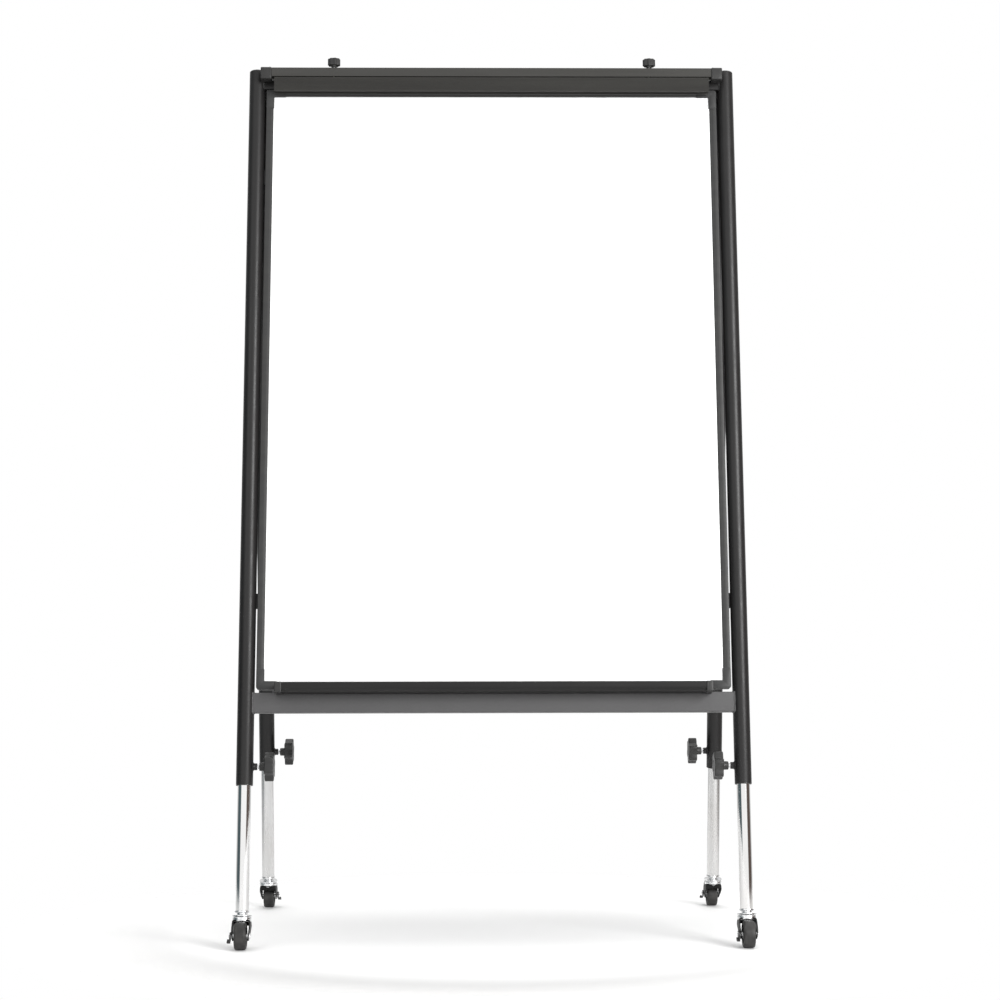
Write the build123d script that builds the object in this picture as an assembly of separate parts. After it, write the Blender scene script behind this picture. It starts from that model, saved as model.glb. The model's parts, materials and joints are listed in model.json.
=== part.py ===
"""A folding, wheeled presentation easel: two board frames hinged at the top into an A.

Millimetres, +Z up, origin on the floor under the hinge line, -Y towards the front board.
Each frame is modelled upright in its own flat layout and then leaned out by LEAN degrees.
In that layout the tube axes are vertical, Y = 0 is the tubes' plane, +Y faces the other
frame, and a depth "down" is measured from the top of the tube caps.
"""

import os
from math import cos, radians, sin

from build123d import *

# stance
LEAN = 9.3
APEX_HALF_GAP = 23.4
TUBE_TOP_HEIGHT = 1705.4

# main tubes
TUBE_SPACING = 938.0
TUBE_RADIUS = 16.0
TUBE_WALL = 1.5
TUBE_END = 1426.0
CAP_THICKNESS = 3.0
CAP_CHAMFER = 1.2
CAP_PLUG_DEPTH = 12.0
FIT_GAP = 0.1
MOVING_GAP = 0.3

# board
BOARD_WIDTH = 900.0
BOARD_HEIGHT = 1206.0
BOARD_TOP = 41.0
PROFILE_WIDTH = 14.5
PROFILE_DEPTH = 18.0
PANEL_THICKNESS = 10.0
PANEL_FRONT = -6.5
GROOVE_DEPTH = 5.0
CORNER_ARM = 39.0
CORNER_PROUD = 0.7
CORNER_OVERLAP = 1.0
TAB_HEIGHT = 29.0
TAB_THICKNESS = 8.0
TAB_TOPS = (208.0, 1062.0)

# crossbars
UPPER_BAR_TOP = 19.5
UPPER_BAR_HEIGHT = 20.0
UPPER_BAR_FRONT = -9.5
UPPER_BAR_BACK = 15.0
LOWER_BAR_TOP = 1253.5
LOWER_BAR_HEIGHT = 38.0
LOWER_BAR_FRONT = -9.5
LOWER_BAR_BACK = 9.5
BAR_WALL = 1.5
BAR_CORNER = 2.0

# pen tray
TRAY_LENGTH = 825.0
TRAY_CAP_LENGTH = 13.5
TRAY_REACH = 40.5
TRAY_BACK = LOWER_BAR_FRONT
TRAY_BOTTOM = 1257.0
TRAY_LIP_HEIGHT = 18.0
TRAY_BACK_HEIGHT = 22.0
TRAY_WALL = 2.0

# top hinges
HINGE_OFFSET = 400.0
PIN_DROP = 30.0
PIN_RADIUS = 3.5
KNUCKLE_RADIUS = 6.5
LEAF_WIDTH = 50.0
LEAF_THICKNESS = 3.0
MIDDLE_KNUCKLE = 17.0
STOP_TOP = 6.0
STOP_HEIGHT = 9.0

# paper clamp
RAIL_LENGTH = 877.0
RAIL_TOP = 4.5
RAIL_HEIGHT = 18.0
RAIL_DEPTH = 20.0
RAIL_WALL = 1.5
RAIL_BACK = -15.0
FIN_THICKNESS = 2.0
FIN_BOTTOM = 53.0
SPACER_WIDTH = 40.0
SPACER_PITCH = 300.0
SPACER_DOWN = (21.5, 37.5)
RAIL_CAP_WIDTH = 22.0
RAIL_CAP_TOP = 3.5
RAIL_CAP_HEIGHT = 24.5
RAIL_CAP_FRONT = -37.0
CLAMP_LENGTH = 866.0
CLAMP_TOP = 24.4
CLAMP_BOTTOM = 54.3
CLAMP_FRONT = -36.0
CLAMP_SHEET = 1.6
CLAMP_LIP_TOP = 48.4
PIVOT_Y = -28.0
PIVOT_DOWN = 25.8
PIVOT_RADIUS = 1.4
CURL_RADIUS = 2.5
PIVOT_INSET = 6.0

# clamp screws on the rail
TOP_SCREW_OFFSET = 314.6
TOP_SCREW_Y = -30.8
TOP_SCREW_RADIUS = 2.5
TOP_KNOB_RADIUS = 12.5
TOP_KNOB_HEIGHT = 14.0
TOP_KNOB_BOTTOM = -1.0
TOP_COLLAR_RADIUS = 5.5
TOP_PAD_RADIUS = 2.3
TOP_PAD_BOTTOM = 21.7
TOP_PAD_HEIGHT = 2.0

# legs and their clamp screws
LEG_RADIUS = 12.5
LEG_WALL = 1.2
LEG_LENGTH = 500.0
LEG_END = 1659.5
BUSH_LENGTH = 60.0
BUSH_LIP = 2.0
SCREW_DOWN = 1392.5
SCREW_RADIUS = 4.0
BOSS_RADIUS = 6.5
BOSS_LENGTH = 7.5
STUD_SHOWING = 4.0
HUB_RADIUS = 8.5
HUB_LENGTH = 10.5
KNOB_RADIUS = 27.5
KNOB_LENGTH = 17.0
KNOB_LOBES = 6
PAD_LENGTH = 3.0
PAD_RADIUS = 3.8

# castors: "drop" runs down the leg from its end, "trail" runs away from the swivel axis
WHEEL_RADIUS = 25.0
WHEEL_WIDTH = 22.0
WHEEL_EDGE = 2.5
TRAIL = 22.0
AXLE_RADIUS = 4.0
PLUG_DEPTH = 30.0
COLLAR_RADIUS = 13.75
COLLAR_DROP = 3.0
NECK_RADIUS = 9.75
DISC_RADIUS = 18.5
DISC_TOP = 8.0
DISC_THICKNESS = 2.0
CROWN_RADIUS = 17.5
CROWN_HEIGHT = 6.0
HOOD_THICKNESS = 3.0
HOOD_HALF_WIDTH = 16.2
SKIRT_DROP = 27.0
CHEEK_THICKNESS = 2.0
CHEEK_BULGE = 17.0
CHEEK_FOOT = 14.6
KINGPIN_RADIUS = 4.0
KINGPIN_HEAD_RADIUS = 6.5
KINGPIN_HEAD_HEIGHT = 1.8
AXLE_HEAD_RADIUS = 5.5
AXLE_HEAD = 1.4
LEVER_INNER = 17.4
LEVER_THICKNESS = 2.4
LEVER_HUB_RADIUS = 7.5
LEVER_TAB_END = 24.0

LOW = Align.MIN
MID = Align.CENTER
TUBE_X = TUBE_SPACING / 2
SIDES = {"left": -1, "right": 1}
os.makedirs("parts", exist_ok=True)


def block(x, y, down):
    """A box from its two X, two Y and two depths below the cap tops."""
    size = (x[1] - x[0], y[1] - y[0], down[1] - down[0])
    return Pos(x[0], y[0], -down[1]) * Box(*size, align=(LOW, LOW, LOW))


def post(radius, down, x=0.0, y=0.0):
    """An upright cylinder between two depths."""
    return Pos(x, y, -down[1]) * Cylinder(radius, down[1] - down[0], align=(MID, MID, LOW))


def bar(radius, x, y=0.0, down=0.0):
    """A cylinder along X."""
    upright = Cylinder(radius, x[1] - x[0], align=(MID, MID, LOW))
    return Pos(x[0], y, -down) * Rot(0, 90, 0) * upright


def both_sides(right):
    return [mirror(right, Plane.YZ), right]


def lean(shape, end):
    """Stand a flat layout up as the front or the rear frame."""
    front = Pos(0, -APEX_HALF_GAP, TUBE_TOP_HEIGHT) * Rot(-LEAN, 0, 0) * shape
    return front if end == "front" else Rot(0, 0, 180) * front


def save(name, shapes, end="front"):
    """Write one node; its solids stay separate."""
    solids = [s for shape in shapes for s in lean(shape, end).solids()]
    export_step(Compound(children=solids), f"parts/{name}.step")


def tube():
    """The right-hand tube with its welded board tabs and its threaded boss."""
    body = post(TUBE_RADIUS, (CAP_THICKNESS, TUBE_END), TUBE_X)
    for top in TAB_TOPS:
        body += block((BOARD_WIDTH / 2, TUBE_X), (0, TAB_THICKNESS), (top, top + TAB_HEIGHT))
    boss_face = TUBE_X - TUBE_RADIUS - BOSS_LENGTH
    body += bar(BOSS_RADIUS, (boss_face, TUBE_X), 0, SCREW_DOWN)
    body -= post(TUBE_RADIUS - TUBE_WALL, (CAP_THICKNESS - 1, TUBE_END + 1), TUBE_X)
    return body - bar(SCREW_RADIUS + FIT_GAP, (boss_face - 1, TUBE_X), 0, SCREW_DOWN)


def tube_cap():
    head = post(TUBE_RADIUS, (0, CAP_THICKNESS), TUBE_X)
    head = chamfer(head.edges().group_by(Axis.Z)[-1], CAP_CHAMFER)
    plug = post(TUBE_RADIUS - TUBE_WALL, (CAP_THICKNESS, CAP_THICKNESS + CAP_PLUG_DEPTH), TUBE_X)
    return head + plug


def leg_bush():
    outer = TUBE_RADIUS - TUBE_WALL
    body = post(outer, (TUBE_END - BUSH_LENGTH, TUBE_END), TUBE_X)
    body += post(TUBE_RADIUS, (TUBE_END, TUBE_END + BUSH_LIP), TUBE_X)
    body -= post(LEG_RADIUS + FIT_GAP, (TUBE_END - BUSH_LENGTH - 1, TUBE_END + BUSH_LIP + 1), TUBE_X)
    return body - bar(SCREW_RADIUS + FIT_GAP, (TUBE_X - TUBE_RADIUS, TUBE_X), 0, SCREW_DOWN)


def crossbar(top, height, front, back):
    """A flat tube whose ends are coped around the round tubes."""
    body = block((-TUBE_X, TUBE_X), (front, back), (top, top + height))
    body = fillet(body.edges().filter_by(Axis.X), BAR_CORNER)
    body -= block((-TUBE_X, TUBE_X), (front + BAR_WALL, back - BAR_WALL),
                  (top + BAR_WALL, top + height - BAR_WALL))
    for side in (-1, 1):
        body -= post(TUBE_RADIUS, (top - 1, top + height + 1), side * TUBE_X)
    return body


def rail_spacers():
    """Pads welded on the front of the upper crossbar that carry the clamp rail."""
    half = SPACER_WIDTH / 2
    return [block((x - half, x + half), (RAIL_BACK, UPPER_BAR_FRONT), SPACER_DOWN)
            for x in (-SPACER_PITCH, 0, SPACER_PITCH)]


def panel():
    reach = PROFILE_WIDTH - GROOVE_DEPTH
    half = BOARD_WIDTH / 2 - reach
    return block((-half, half), (PANEL_FRONT, PANEL_FRONT + PANEL_THICKNESS),
                 (BOARD_TOP + reach, BOARD_TOP + BOARD_HEIGHT - reach))


def board_profiles():
    """Two grooved stiles and two grooved rails, stopped short of the corner pieces."""
    half = BOARD_WIDTH / 2
    depth = (-PROFILE_DEPTH / 2, PROFILE_DEPTH / 2)
    bottom = BOARD_TOP + BOARD_HEIGHT
    stile = block((half - PROFILE_WIDTH, half), depth, (BOARD_TOP + CORNER_ARM, bottom - CORNER_ARM))
    run = (CORNER_ARM - half, half - CORNER_ARM)
    head = block(run, depth, (BOARD_TOP, BOARD_TOP + PROFILE_WIDTH))
    foot = block(run, depth, (bottom - PROFILE_WIDTH, bottom))
    return [piece - panel() for piece in (*both_sides(stile), head, foot)]


def board_corners():
    """Four L-shaped corner pieces, a little proud of the profiles."""
    half = BOARD_WIDTH / 2
    proud = PROFILE_DEPTH / 2 + CORNER_PROUD
    arm_width = PROFILE_WIDTH + CORNER_OVERLAP
    pieces = []
    for outer, inward in ((BOARD_TOP, 1), (BOARD_TOP + BOARD_HEIGHT, -1)):
        arm = sorted((outer, outer + inward * CORNER_ARM))
        inside = sorted((outer + inward * arm_width, outer + inward * (CORNER_ARM + 1)))
        piece = block((half - CORNER_ARM, half), (-proud, proud), arm)
        piece -= block((half - CORNER_ARM - 1, half - arm_width), (-proud - 1, proud + 1), inside)
        pieces += both_sides(piece - panel())
    return pieces


def pen_tray():
    """A channel with a low front lip and a taller back that is fixed to the lower crossbar."""
    half = TRAY_LENGTH / 2 - TRAY_CAP_LENGTH
    front = TRAY_BACK - TRAY_REACH
    tray = block((-half, half), (front, TRAY_BACK), (TRAY_BOTTOM - TRAY_WALL, TRAY_BOTTOM))
    tray += block((-half, half), (front, front + TRAY_WALL), (TRAY_BOTTOM - TRAY_LIP_HEIGHT, TRAY_BOTTOM))
    tray += block((-half, half), (TRAY_BACK - TRAY_WALL, TRAY_BACK),
                  (TRAY_BOTTOM - TRAY_BACK_HEIGHT, TRAY_BOTTOM))
    return tray


def tray_end_cap():
    half = TRAY_LENGTH / 2
    top = TRAY_BOTTOM - TRAY_LIP_HEIGHT - 1
    return block((half - TRAY_CAP_LENGTH, half), (TRAY_BACK - TRAY_REACH - 1, TRAY_BACK),
                 (top, TRAY_BOTTOM + 1))


def pin_place():
    """Where the hinge pin lies in the flat layout: its Y and its depth."""
    tilt = radians(LEAN)
    back = APEX_HALF_GAP * cos(tilt) + PIN_DROP * sin(tilt)
    return back, PIN_DROP * cos(tilt) - APEX_HALF_GAP * sin(tilt)


def hinge_leaf(knuckles):
    """A leaf welded behind the upper crossbar, with the given knuckles and an open-position stop."""
    back, down = pin_place()
    face = UPPER_BAR_BACK
    edges = (HINGE_OFFSET - LEAF_WIDTH / 2, HINGE_OFFSET + LEAF_WIDTH / 2)
    leaf = block(edges, (face, face + LEAF_THICKNESS), (STOP_TOP, UPPER_BAR_TOP + UPPER_BAR_HEIGHT))
    for start, end in knuckles:
        span = (HINGE_OFFSET + start, HINGE_OFFSET + end)
        leaf += block(span, (face, back), (down - LEAF_THICKNESS, down + LEAF_THICKNESS))
        leaf += bar(KNUCKLE_RADIUS, span, back, down)
    leaf += block(edges, (face, back), (STOP_TOP, STOP_TOP + STOP_HEIGHT))
    leaf -= bar(PIN_RADIUS + FIT_GAP, (edges[0] - 1, edges[1] + 1), back, down)
    beyond = Pos(HINGE_OFFSET, back, -down) * Rot(LEAN, 0, 0) * Pos(0, -MOVING_GAP / 2, 0)
    beyond *= Pos(0, 0, KNUCKLE_RADIUS + MOVING_GAP)
    return leaf - beyond * Box(2 * LEAF_WIDTH, 40, 40, align=(MID, LOW, LOW))


def hinge_pin():
    back, down = pin_place()
    half = LEAF_WIDTH / 2
    pin = bar(PIN_RADIUS, (HINGE_OFFSET - half - 2, HINGE_OFFSET + half + 2), back, down)
    for x in (HINGE_OFFSET - half - 2, HINGE_OFFSET + half + MOVING_GAP):
        pin += bar(PIN_RADIUS + 1.5, (x, x + 2 - MOVING_GAP), back, down)
    return pin


def clamp_rail():
    """A box rail with a fin that hangs behind the clamp plate; holes pass the clamp screws."""
    half = RAIL_LENGTH / 2
    front = RAIL_BACK - RAIL_DEPTH
    bottom = RAIL_TOP + RAIL_HEIGHT
    rail = block((-half, half), (front, RAIL_BACK), (RAIL_TOP, bottom))
    rail -= block((-half, half), (front + RAIL_WALL, RAIL_BACK - RAIL_WALL),
                  (RAIL_TOP + RAIL_WALL, bottom - RAIL_WALL))
    rail += block((-CLAMP_LENGTH / 2, CLAMP_LENGTH / 2), (RAIL_BACK - FIN_THICKNESS, RAIL_BACK),
                  (bottom - RAIL_WALL, FIN_BOTTOM))
    for side in (-1, 1):
        hole = (RAIL_TOP - 1, bottom + 1)
        rail -= post(TOP_SCREW_RADIUS + FIT_GAP, hole, side * TOP_SCREW_OFFSET, TOP_SCREW_Y)
    return rail


def rail_cap():
    """An end block with a plug inside the rail and the socket of the clamp plate's pivot."""
    start = RAIL_LENGTH / 2
    back = -TUBE_RADIUS - MOVING_GAP
    cap = block((start, start + RAIL_CAP_WIDTH), (RAIL_CAP_FRONT, back),
                (RAIL_CAP_TOP, RAIL_CAP_TOP + RAIL_CAP_HEIGHT))
    cap = fillet(cap.edges().group_by(Axis.X)[-1], 1.5)
    inner = (RAIL_BACK - RAIL_DEPTH + RAIL_WALL, RAIL_BACK - RAIL_WALL)
    plug_down = (RAIL_TOP + RAIL_WALL, RAIL_TOP + RAIL_HEIGHT - RAIL_WALL)
    cap += block((start - 15, start + 1), inner, plug_down)
    return cap - bar(PIVOT_RADIUS + FIT_GAP, (start - 1, start + PIVOT_INSET + 1), PIVOT_Y, PIVOT_DOWN)


def clamp_plate():
    """Three joined strips: the face, the top flange with its pivot curl, and the grip strip."""
    half = CLAMP_LENGTH / 2
    end = RAIL_LENGTH / 2 + PIVOT_INSET
    span = (-half, half)
    behind = CLAMP_FRONT + CLAMP_SHEET
    face = block(span, (CLAMP_FRONT, behind), (CLAMP_TOP, CLAMP_BOTTOM))
    flange = block(span, (behind, PIVOT_Y), (CLAMP_TOP, CLAMP_TOP + CLAMP_SHEET))
    flange += bar(CURL_RADIUS, span, PIVOT_Y, PIVOT_DOWN)
    flange += bar(PIVOT_RADIUS, (-end, end), PIVOT_Y, PIVOT_DOWN)
    lip_back = RAIL_BACK - FIN_THICKNESS - MOVING_GAP
    lip = block(span, (behind, lip_back), (CLAMP_LIP_TOP, CLAMP_LIP_TOP + CLAMP_SHEET))
    return [face, flange, lip]


def lobed_disc(radius, lobes, thickness):
    """A hand-knob head lying on XY: a disc with round lobes that reach the radius."""
    lobe = radius * 0.29
    outline = Circle(radius * 0.76)
    for spot in PolarLocations(radius - lobe, lobes):
        outline += spot * Circle(lobe)
    return extrude(outline, thickness)


def top_knob():
    """A thumb knob on its screw, standing on the right-hand end of the rail."""
    place = Pos(TOP_SCREW_OFFSET, TOP_SCREW_Y, -TOP_KNOB_BOTTOM)
    knob = place * lobed_disc(TOP_KNOB_RADIUS, 5, TOP_KNOB_HEIGHT)
    knob += post(TOP_COLLAR_RADIUS, (TOP_KNOB_BOTTOM, RAIL_TOP - 2), TOP_SCREW_OFFSET, TOP_SCREW_Y)
    screw_end = TOP_PAD_BOTTOM - TOP_PAD_HEIGHT - FIT_GAP
    return knob + post(TOP_SCREW_RADIUS, (TOP_KNOB_BOTTOM, screw_end), TOP_SCREW_OFFSET, TOP_SCREW_Y)


def top_pad():
    return post(TOP_PAD_RADIUS, (TOP_PAD_BOTTOM - TOP_PAD_HEIGHT, TOP_PAD_BOTTOM),
                TOP_SCREW_OFFSET, TOP_SCREW_Y)


def leg_tube():
    body = post(LEG_RADIUS, (LEG_END - LEG_LENGTH, LEG_END), TUBE_X)
    return body - post(LEG_RADIUS - LEG_WALL, (LEG_END - LEG_LENGTH - 1, LEG_END + 1), TUBE_X)


def leg_pad():
    """The pressure pad at the tip of the right-hand leg's clamp screw."""
    tip = TUBE_X - LEG_RADIUS - FIT_GAP
    return bar(PAD_RADIUS, (tip - PAD_LENGTH, tip), 0, SCREW_DOWN)


def leg_knob():
    """The right-hand leg's star knob with its hub and screw; it points inwards."""
    face = TUBE_X - TUBE_RADIUS - BOSS_LENGTH - STUD_SHOWING
    tip = TUBE_X - LEG_RADIUS - FIT_GAP - PAD_LENGTH - FIT_GAP
    knob = bar(SCREW_RADIUS, (face - 1, tip), 0, SCREW_DOWN)
    knob += bar(HUB_RADIUS, (face - HUB_LENGTH, face), 0, SCREW_DOWN)
    place = Pos(face - HUB_LENGTH - KNOB_LENGTH, 0, -SCREW_DOWN) * Rot(0, 90, 0)
    return knob + place * lobed_disc(KNOB_RADIUS, KNOB_LOBES, KNOB_LENGTH)


def axle_drop():
    """How far down the leg line the axle lies for the wheel to stand on the floor."""
    tilt = radians(LEAN)
    end_height = TUBE_TOP_HEIGHT - LEG_END * cos(tilt)
    return (end_height - WHEEL_RADIUS + TRAIL * sin(tilt)) / cos(tilt)


def at_castor(drops):
    return (LEG_END + drops[0], LEG_END + drops[1])


def castor_stem():
    """The leg's end plug with its collar, race disc and king pin, in one turned piece."""
    crown_top = DISC_TOP + DISC_THICKNESS + MOVING_GAP
    head_top = crown_top + CROWN_HEIGHT + HOOD_THICKNESS + MOVING_GAP
    stem = post(LEG_RADIUS - LEG_WALL, at_castor((-PLUG_DEPTH, 0)), TUBE_X)
    for radius, drops in ((COLLAR_RADIUS, (0, COLLAR_DROP)),
                          (NECK_RADIUS, (COLLAR_DROP, DISC_TOP)),
                          (DISC_RADIUS, (DISC_TOP, DISC_TOP + DISC_THICKNESS)),
                          (KINGPIN_RADIUS, (DISC_TOP, head_top + KINGPIN_HEAD_HEIGHT)),
                          (KINGPIN_HEAD_RADIUS, (head_top, head_top + KINGPIN_HEAD_HEIGHT))):
        stem += post(radius, at_castor(drops), TUBE_X)
    return stem


def fork_side_outline(hood_top):
    """The cheeks' outline seen along the axle; X here is trail and Y is drop."""
    axle = axle_drop()
    points = [(-CROWN_RADIUS, hood_top), (CROWN_RADIUS, hood_top), (TRAIL + 9, axle - 4),
              (TRAIL, axle + 9), (TRAIL - 9, axle + 3), (-CROWN_RADIUS, SKIRT_DROP)]
    return make_face(Polyline(points, close=True)) + Pos(TRAIL, axle) * Circle(9)


def fork_cheeks(hood_top):
    """Two bowed cheeks: a curved strip seen from the front, cut to the side outline."""
    foot = axle_drop() + 10
    outer = [(HOOD_HALF_WIDTH, hood_top), (CHEEK_BULGE, hood_top + 14), (CHEEK_FOOT, foot)]
    inner = [(x - CHEEK_THICKNESS, drop) for x, drop in outer]
    edge = ThreePointArc(*outer) + Line(outer[2], inner[2])
    strip = make_face(edge + ThreePointArc(*inner[::-1]) + Line(inner[0], outer[0]))
    along_trail = Plane(origin=(0, 0, 0), x_dir=(1, 0, 0), z_dir=(0, 1, 0))
    strip = extrude(along_trail * strip, 60, both=True)
    along_axle = Plane(origin=(0, 0, 0), x_dir=(0, -1, 0), z_dir=(1, 0, 0))
    side = extrude(along_axle * fork_side_outline(hood_top), 40, both=True)
    return both_sides(strip & side)


def castor_fork(lever_side):
    """Crown, hood, skirt and cheeks in one piece, and the riveted axle as a second solid."""
    crown_top = DISC_TOP + DISC_THICKNESS + MOVING_GAP
    hood_top = crown_top + CROWN_HEIGHT
    hood_bottom = hood_top + HOOD_THICKNESS
    half = HOOD_HALF_WIDTH
    fork = post(CROWN_RADIUS, (crown_top, hood_bottom))
    fork += block((-half, half), (0, CROWN_RADIUS), (hood_top, hood_bottom))
    fork += block((-half, half), (CROWN_RADIUS - 2.5, CROWN_RADIUS), (hood_top, SKIRT_DROP))
    for cheek in fork_cheeks(hood_top):
        fork += cheek
    fork -= post(KINGPIN_RADIUS + FIT_GAP, (0, hood_bottom + 1))
    axle = axle_drop()
    reach = LEVER_INNER + LEVER_THICKNESS + MOVING_GAP + AXLE_HEAD
    far = CHEEK_BULGE + AXLE_HEAD
    pin = bar(AXLE_RADIUS, (-reach, far), -TRAIL, axle)
    pin += bar(AXLE_HEAD_RADIUS, (-reach, AXLE_HEAD - reach), -TRAIL, axle)
    pin += bar(AXLE_HEAD_RADIUS, (far - AXLE_HEAD, far), -TRAIL, axle)
    pieces = [fork - pin, pin]
    return pieces if lever_side < 0 else [mirror(p, Plane.YZ) for p in pieces]


def castor_wheel():
    axle = axle_drop()
    half = WHEEL_WIDTH / 2
    wheel = bar(WHEEL_RADIUS, (-half, half), -TRAIL, axle)
    wheel = fillet(wheel.edges().filter_by(GeomType.CIRCLE), WHEEL_EDGE)
    return wheel - bar(AXLE_RADIUS + FIT_GAP, (-half - 1, half + 1), -TRAIL, axle)


def brake_lever(lever_side):
    """A lever on the axle's end with a foot tab that stands out sideways."""
    axle = axle_drop()
    outer = LEVER_INNER + LEVER_THICKNESS
    lever = bar(LEVER_HUB_RADIUS, (-outer, -LEVER_INNER), -TRAIL, axle)
    arm = Pos(0, -TRAIL, -axle) * Rot(36, 0, 0)
    lever += arm * Pos(-LEVER_INNER, -18, -4) * Box(LEVER_THICKNESS, 18, 8, align=(Align.MAX, LOW, LOW))
    tab_width = LEVER_TAB_END - LEVER_INNER
    lever += arm * Pos(-LEVER_INNER, -18, -4) * Box(tab_width, 10, 3.5, align=(Align.MAX, LOW, LOW))
    lever -= bar(AXLE_RADIUS + FIT_GAP, (-outer - 1, 0), -TRAIL, axle)
    return lever if lever_side < 0 else mirror(lever, Plane.YZ)


def to_leg(shape, side):
    """Carry a castor piece from its own axis to the end of a leg."""
    return Pos(side * TUBE_X, 0, -LEG_END) * shape


def make_frame(end):
    """The fixed pieces that the front and the rear frame have in common."""
    tubes = both_sides(tube())
    save(f"{end}_tube_left", [tubes[0]], end)
    save(f"{end}_tube_right", [tubes[1]], end)
    save(f"{end}_tube_caps", both_sides(tube_cap()), end)
    save(f"{end}_leg_bushes", both_sides(leg_bush()), end)
    upper = crossbar(UPPER_BAR_TOP, UPPER_BAR_HEIGHT, UPPER_BAR_FRONT, UPPER_BAR_BACK)
    for spacer in rail_spacers() if end == "front" else []:
        upper += spacer
    save(f"{end}_upper_crossbar", [upper], end)
    lower = crossbar(LOWER_BAR_TOP, LOWER_BAR_HEIGHT, LOWER_BAR_FRONT, LOWER_BAR_BACK)
    save(f"{end}_lower_crossbar", [lower], end)
    save(f"{end}_board_panel", [panel()], end)
    save(f"{end}_board_profiles", board_profiles(), end)
    save(f"{end}_board_corners", board_corners(), end)
    save(f"{end}_pen_tray", [pen_tray()], end)
    save(f"{end}_tray_end_caps", both_sides(tray_end_cap()), end)


def make_hinges():
    half = LEAF_WIDTH / 2
    middle = MIDDLE_KNUCKLE / 2
    gap = MOVING_GAP
    outer_pair = [(-half, -middle - gap), (middle + gap, half)]
    save("front_hinge_leaves", both_sides(hinge_leaf(outer_pair)))
    save("rear_hinge_leaves", both_sides(hinge_leaf([(-middle, middle)])), "rear")
    save("hinge_pins", both_sides(hinge_pin()))


def make_paper_clamp():
    save("clamp_rail", [clamp_rail()])
    save("rail_end_caps", both_sides(rail_cap()))
    save("clamp_plate", clamp_plate())
    for index, side in enumerate(SIDES):
        save(f"clamp_knob_{side}", [both_sides(top_knob())[index]])
        save(f"clamp_screw_tip_{side}", [both_sides(top_pad())[index]])


def make_corner(end, side):
    """One leg with its clamp screw, castor and brake. The rear frame is the front one turned
    about, so its left-hand pieces come from the right-hand side of the flat layout."""
    sign = SIDES[side] if end == "front" else -SIDES[side]
    index = 0 if sign < 0 else 1
    corner = f"{end}_{side}"
    save(f"leg_tube_{corner}", [both_sides(leg_tube())[index]], end)
    save(f"leg_screw_pad_{corner}", [both_sides(leg_pad())[index]], end)
    save(f"leg_knob_{corner}", [both_sides(leg_knob())[index]], end)
    save(f"castor_stem_{corner}", [both_sides(castor_stem())[index]], end)
    lever_side = -1 if end == "front" else -sign
    save(f"castor_fork_{corner}", [to_leg(p, sign) for p in castor_fork(lever_side)], end)
    save(f"castor_wheel_{corner}", [to_leg(castor_wheel(), sign)], end)
    save(f"brake_lever_{corner}", [to_leg(brake_lever(lever_side), sign)], end)


for frame_end in ("front", "rear"):
    make_frame(frame_end)
    for frame_side in SIDES:
        make_corner(frame_end, frame_side)
make_hinges()
make_paper_clamp()
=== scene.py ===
"""The looks of a folding presentation easel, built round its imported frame.

Pieces are modelled in millimetres in the same flat layout as the CAD source: tube axes
upright, Y towards the other frame, depths ("down") measured from the top of the tube caps.
Each mesh is then carried into the row frame, in metres, by its frame's matrix.
"""

import json
from math import atan2, cos, pi, radians, sin, sqrt, tan

import bmesh
import bpy
from mathutils import Matrix, Vector


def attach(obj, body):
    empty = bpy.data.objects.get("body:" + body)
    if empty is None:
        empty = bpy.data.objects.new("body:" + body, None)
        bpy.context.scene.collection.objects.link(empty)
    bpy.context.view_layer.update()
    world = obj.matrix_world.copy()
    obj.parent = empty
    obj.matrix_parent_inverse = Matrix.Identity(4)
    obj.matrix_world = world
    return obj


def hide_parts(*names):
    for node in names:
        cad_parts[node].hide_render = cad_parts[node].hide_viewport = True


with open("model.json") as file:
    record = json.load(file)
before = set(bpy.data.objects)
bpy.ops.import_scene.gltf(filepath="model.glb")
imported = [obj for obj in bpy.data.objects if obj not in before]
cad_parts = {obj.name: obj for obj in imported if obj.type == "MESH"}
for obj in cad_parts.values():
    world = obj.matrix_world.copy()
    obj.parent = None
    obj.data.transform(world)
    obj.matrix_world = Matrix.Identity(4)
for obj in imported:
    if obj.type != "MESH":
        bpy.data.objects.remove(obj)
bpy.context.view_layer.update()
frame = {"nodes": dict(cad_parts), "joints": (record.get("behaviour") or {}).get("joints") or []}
joints = {j["name"]: j for j in frame["joints"]}

# ---------------------------------------------------------------- driving sizes (mm)
MM = 0.001
TUBE_RADIUS = 16.0
TUBE_WALL = 1.5
TUBE_END = 1426.0
CAP_THICKNESS = 3.0
BUSH_LIP = 2.0
BOARD_HALF_WIDTH = 450.0
BOARD_TOP = 41.0
BOARD_BOTTOM = 1247.0
PROFILE_WIDTH = 14.5
PROFILE_HALF_DEPTH = 9.0
PANEL_FRONT = -6.5
PANEL_BACK = 3.5
GROOVE_DEPTH = 5.0
CORNER_ARM = 39.0
CORNER_WIDTH = 15.5
CORNER_HALF_DEPTH = 9.7
TAB_TOPS = (208.0, 1062.0)
TAB_HEIGHT = 29.0
TAB_THICKNESS = 8.0
TAB_REACH = 6.5
LOWER_BAR = (1253.5, 1291.5)
LOWER_BAR_DEPTH = (-9.5, 9.5)
UPPER_BAR = (19.5, 39.5)
UPPER_BAR_DEPTH = (-9.5, 15.0)
SPACERS = (-300.0, 0.0, 300.0)
SPACER_HALF_WIDTH = 20.0
SPACER_DOWN = (21.5, 37.5)
TRAY_HALF_LENGTH = 412.5
TRAY_CAP_LENGTH = 13.5
TRAY_FRONT = -50.0
TRAY_BACK = -9.5
TRAY_BOTTOM = 1257.0
TRAY_LIP_TOP = 1239.0
TRAY_BACK_TOP = 1235.0
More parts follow.
